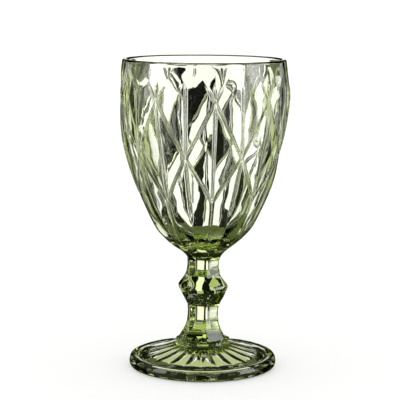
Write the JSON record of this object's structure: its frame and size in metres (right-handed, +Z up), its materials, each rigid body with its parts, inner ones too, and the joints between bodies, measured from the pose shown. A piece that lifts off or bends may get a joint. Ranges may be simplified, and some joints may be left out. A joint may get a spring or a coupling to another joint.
{
  "type": "wine glass",
  "caption": "Pressed green glass goblet: diamond-relief bowl on a faceted stem with a knop and a round fluted foot; holds a drink.",
  "frame": {"origin": "centre of the plane the foot rests on", "axes": "+Z up along the axis of the glass; -Y is the front, with a rib crossing just to the right of it"},
  "size_m": [0.0895, 0.0897, 0.165],
  "materials": {
    "foot_glass": "fire-polished, olive green tint",
    "lower_stem_glass": "fire-polished, olive green tint",
    "knop_glass": "fire-polished, olive green tint",
    "upper_stem_glass": "fire-polished, olive green tint",
    "bowl_glass": "fire-polished, pale olive green tint"
  },
  "bodies": {
    "root": {"foot": "foot_glass", "lower_stem": "lower_stem_glass", "knop": "knop_glass", "upper_stem": "upper_stem_glass", "bowl": "bowl_glass"}
  },
  "joints": []
}
